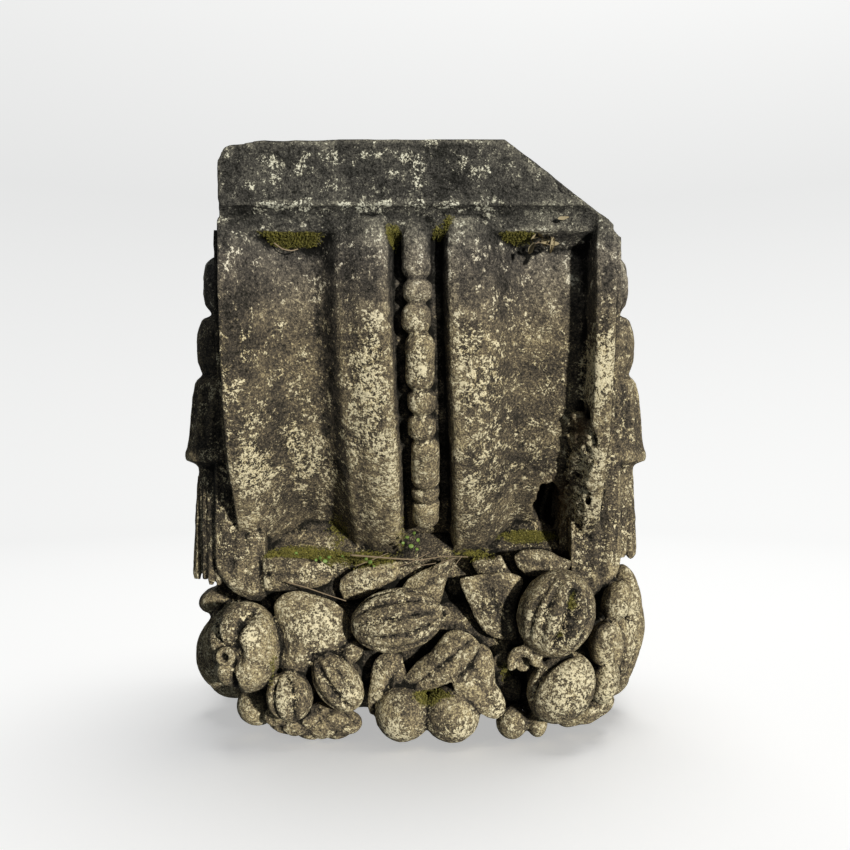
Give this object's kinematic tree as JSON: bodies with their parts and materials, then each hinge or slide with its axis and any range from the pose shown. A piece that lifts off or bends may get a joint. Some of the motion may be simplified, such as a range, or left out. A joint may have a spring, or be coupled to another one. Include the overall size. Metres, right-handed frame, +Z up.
{
  "type": "stone balcony bracket",
  "caption": "Weathered carved stone console for a balcony: moulded bed slab, fluted and beaded scroll front, tassels on the sides, fruit and leaf garland round the foot.",
  "frame": {"origin": "centre line of the flat wall face, 310 mm below the top bed", "axes": "+Z up, -Y out of the wall towards the viewer, +X to the viewer's right; the wall face is the plane y = 0"},
  "size_m": [0.5381, 0.408, 0.6311],
  "materials": {
    "stone": "rough weathered limestone with lichen and moss"
  },
  "bodies": {
    "root": {"bracket_stone": "stone"}
  },
  "joints": []
}
